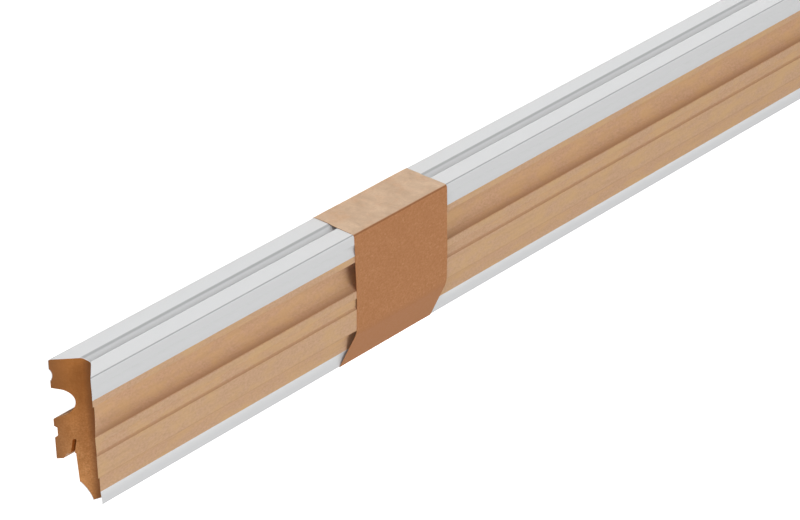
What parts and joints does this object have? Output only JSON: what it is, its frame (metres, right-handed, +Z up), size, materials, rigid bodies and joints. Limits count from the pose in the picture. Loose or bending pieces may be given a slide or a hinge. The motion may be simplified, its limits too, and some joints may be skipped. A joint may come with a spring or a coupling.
{
  "type": "mdf moulding",
  "caption": "Banded pair of mitred foil-faced MDF skirting boards, packed face to face in kraft paper sleeves, with a cable groove along each back.",
  "frame": {"origin": "middle of the underside, at the height of the sleeves' laps that the pack rests on", "axes": "+X along the boards from the mitred end to the square end, +Y towards the boards' top edges, +Z up, from the lower board's back to the upper board's back"},
  "size_m": [2.4, 0.0788, 0.0296],
  "materials": {
    "mdf": "raw, milled and sawn",
    "white_foil": "satin white",
    "kraft_paper": "matt brown"
  },
  "bodies": {
    "root": {"board_lower": "mdf", "board_upper": "mdf", "foil_lower": "white_foil", "foil_upper": "white_foil", "paper_sleeve": "kraft_paper", "paper_sleeve_far": "kraft_paper"}
  },
  "joints": []
}
